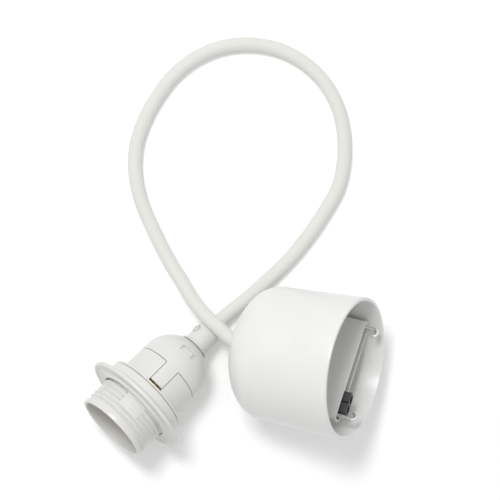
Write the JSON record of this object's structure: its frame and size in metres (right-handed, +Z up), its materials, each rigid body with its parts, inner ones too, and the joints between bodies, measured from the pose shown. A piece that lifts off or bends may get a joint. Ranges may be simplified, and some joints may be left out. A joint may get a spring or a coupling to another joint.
{
  "type": "pendant light",
  "caption": "white pendant lamp cord set: threaded lamp holder with a screw-on shade ring, textile cord and a domed ceiling cup with its terminal housing and hooks",
  "frame": {"origin": "bottom centre of the bounding box of everything but the cord, on the surface the set lies on", "axes": "+X from the lamp holder's side to the ceiling cup's side, +Y the way the cord's loop reaches, +Z up; the picture looks straight down along -Z with +X to the right"},
  "size_m": [0.1549, 0.2186, 0.0846],
  "materials": {
    "white_plastic": "satin",
    "white_textile": "fine weave",
    "ceramic": "glazed",
    "brass": "bright",
    "steel": "zinc plated",
    "black_plastic": "matt",
    "brown_wire": "satin",
    "blue_wire": "satin"
  },
  "bodies": {
    "pendant": {"threaded_skirt": "white_plastic", "holder_cap": "white_plastic", "cord_grip_nipple": "white_plastic", "grip_screw": "steel", "contact_base": "ceramic", "screw_shell": "brass", "centre_contact": "brass", "holder_screw_live": "steel", "holder_screw_neutral": "steel", "holder_wire_live": "brown_wire", "holder_wire_neutral": "blue_wire", "ceiling_cup": "white_plastic", "terminal_tray": "white_plastic", "terminal_cover": "white_plastic", "suspension_bracket": "steel", "terminal_block": "black_plastic", "barrel_live": "brass", "barrel_neutral": "brass", "block_screw_live": "steel", "block_screw_neutral": "steel", "cup_wire_live": "brown_wire", "cup_wire_neutral": "blue_wire", "cord": "white_textile", "cord_stop": "black_plastic"},
    "shade_ring": {"shade_ring": "white_plastic"}
  },
  "joints": [
    {"name": "ring_slide", "type": "slide", "parent": "pendant", "child": "shade_ring", "axis": [-0.6767, -0.6604, 0.3256], "range_m": [0, 0.022]}
  ]
}
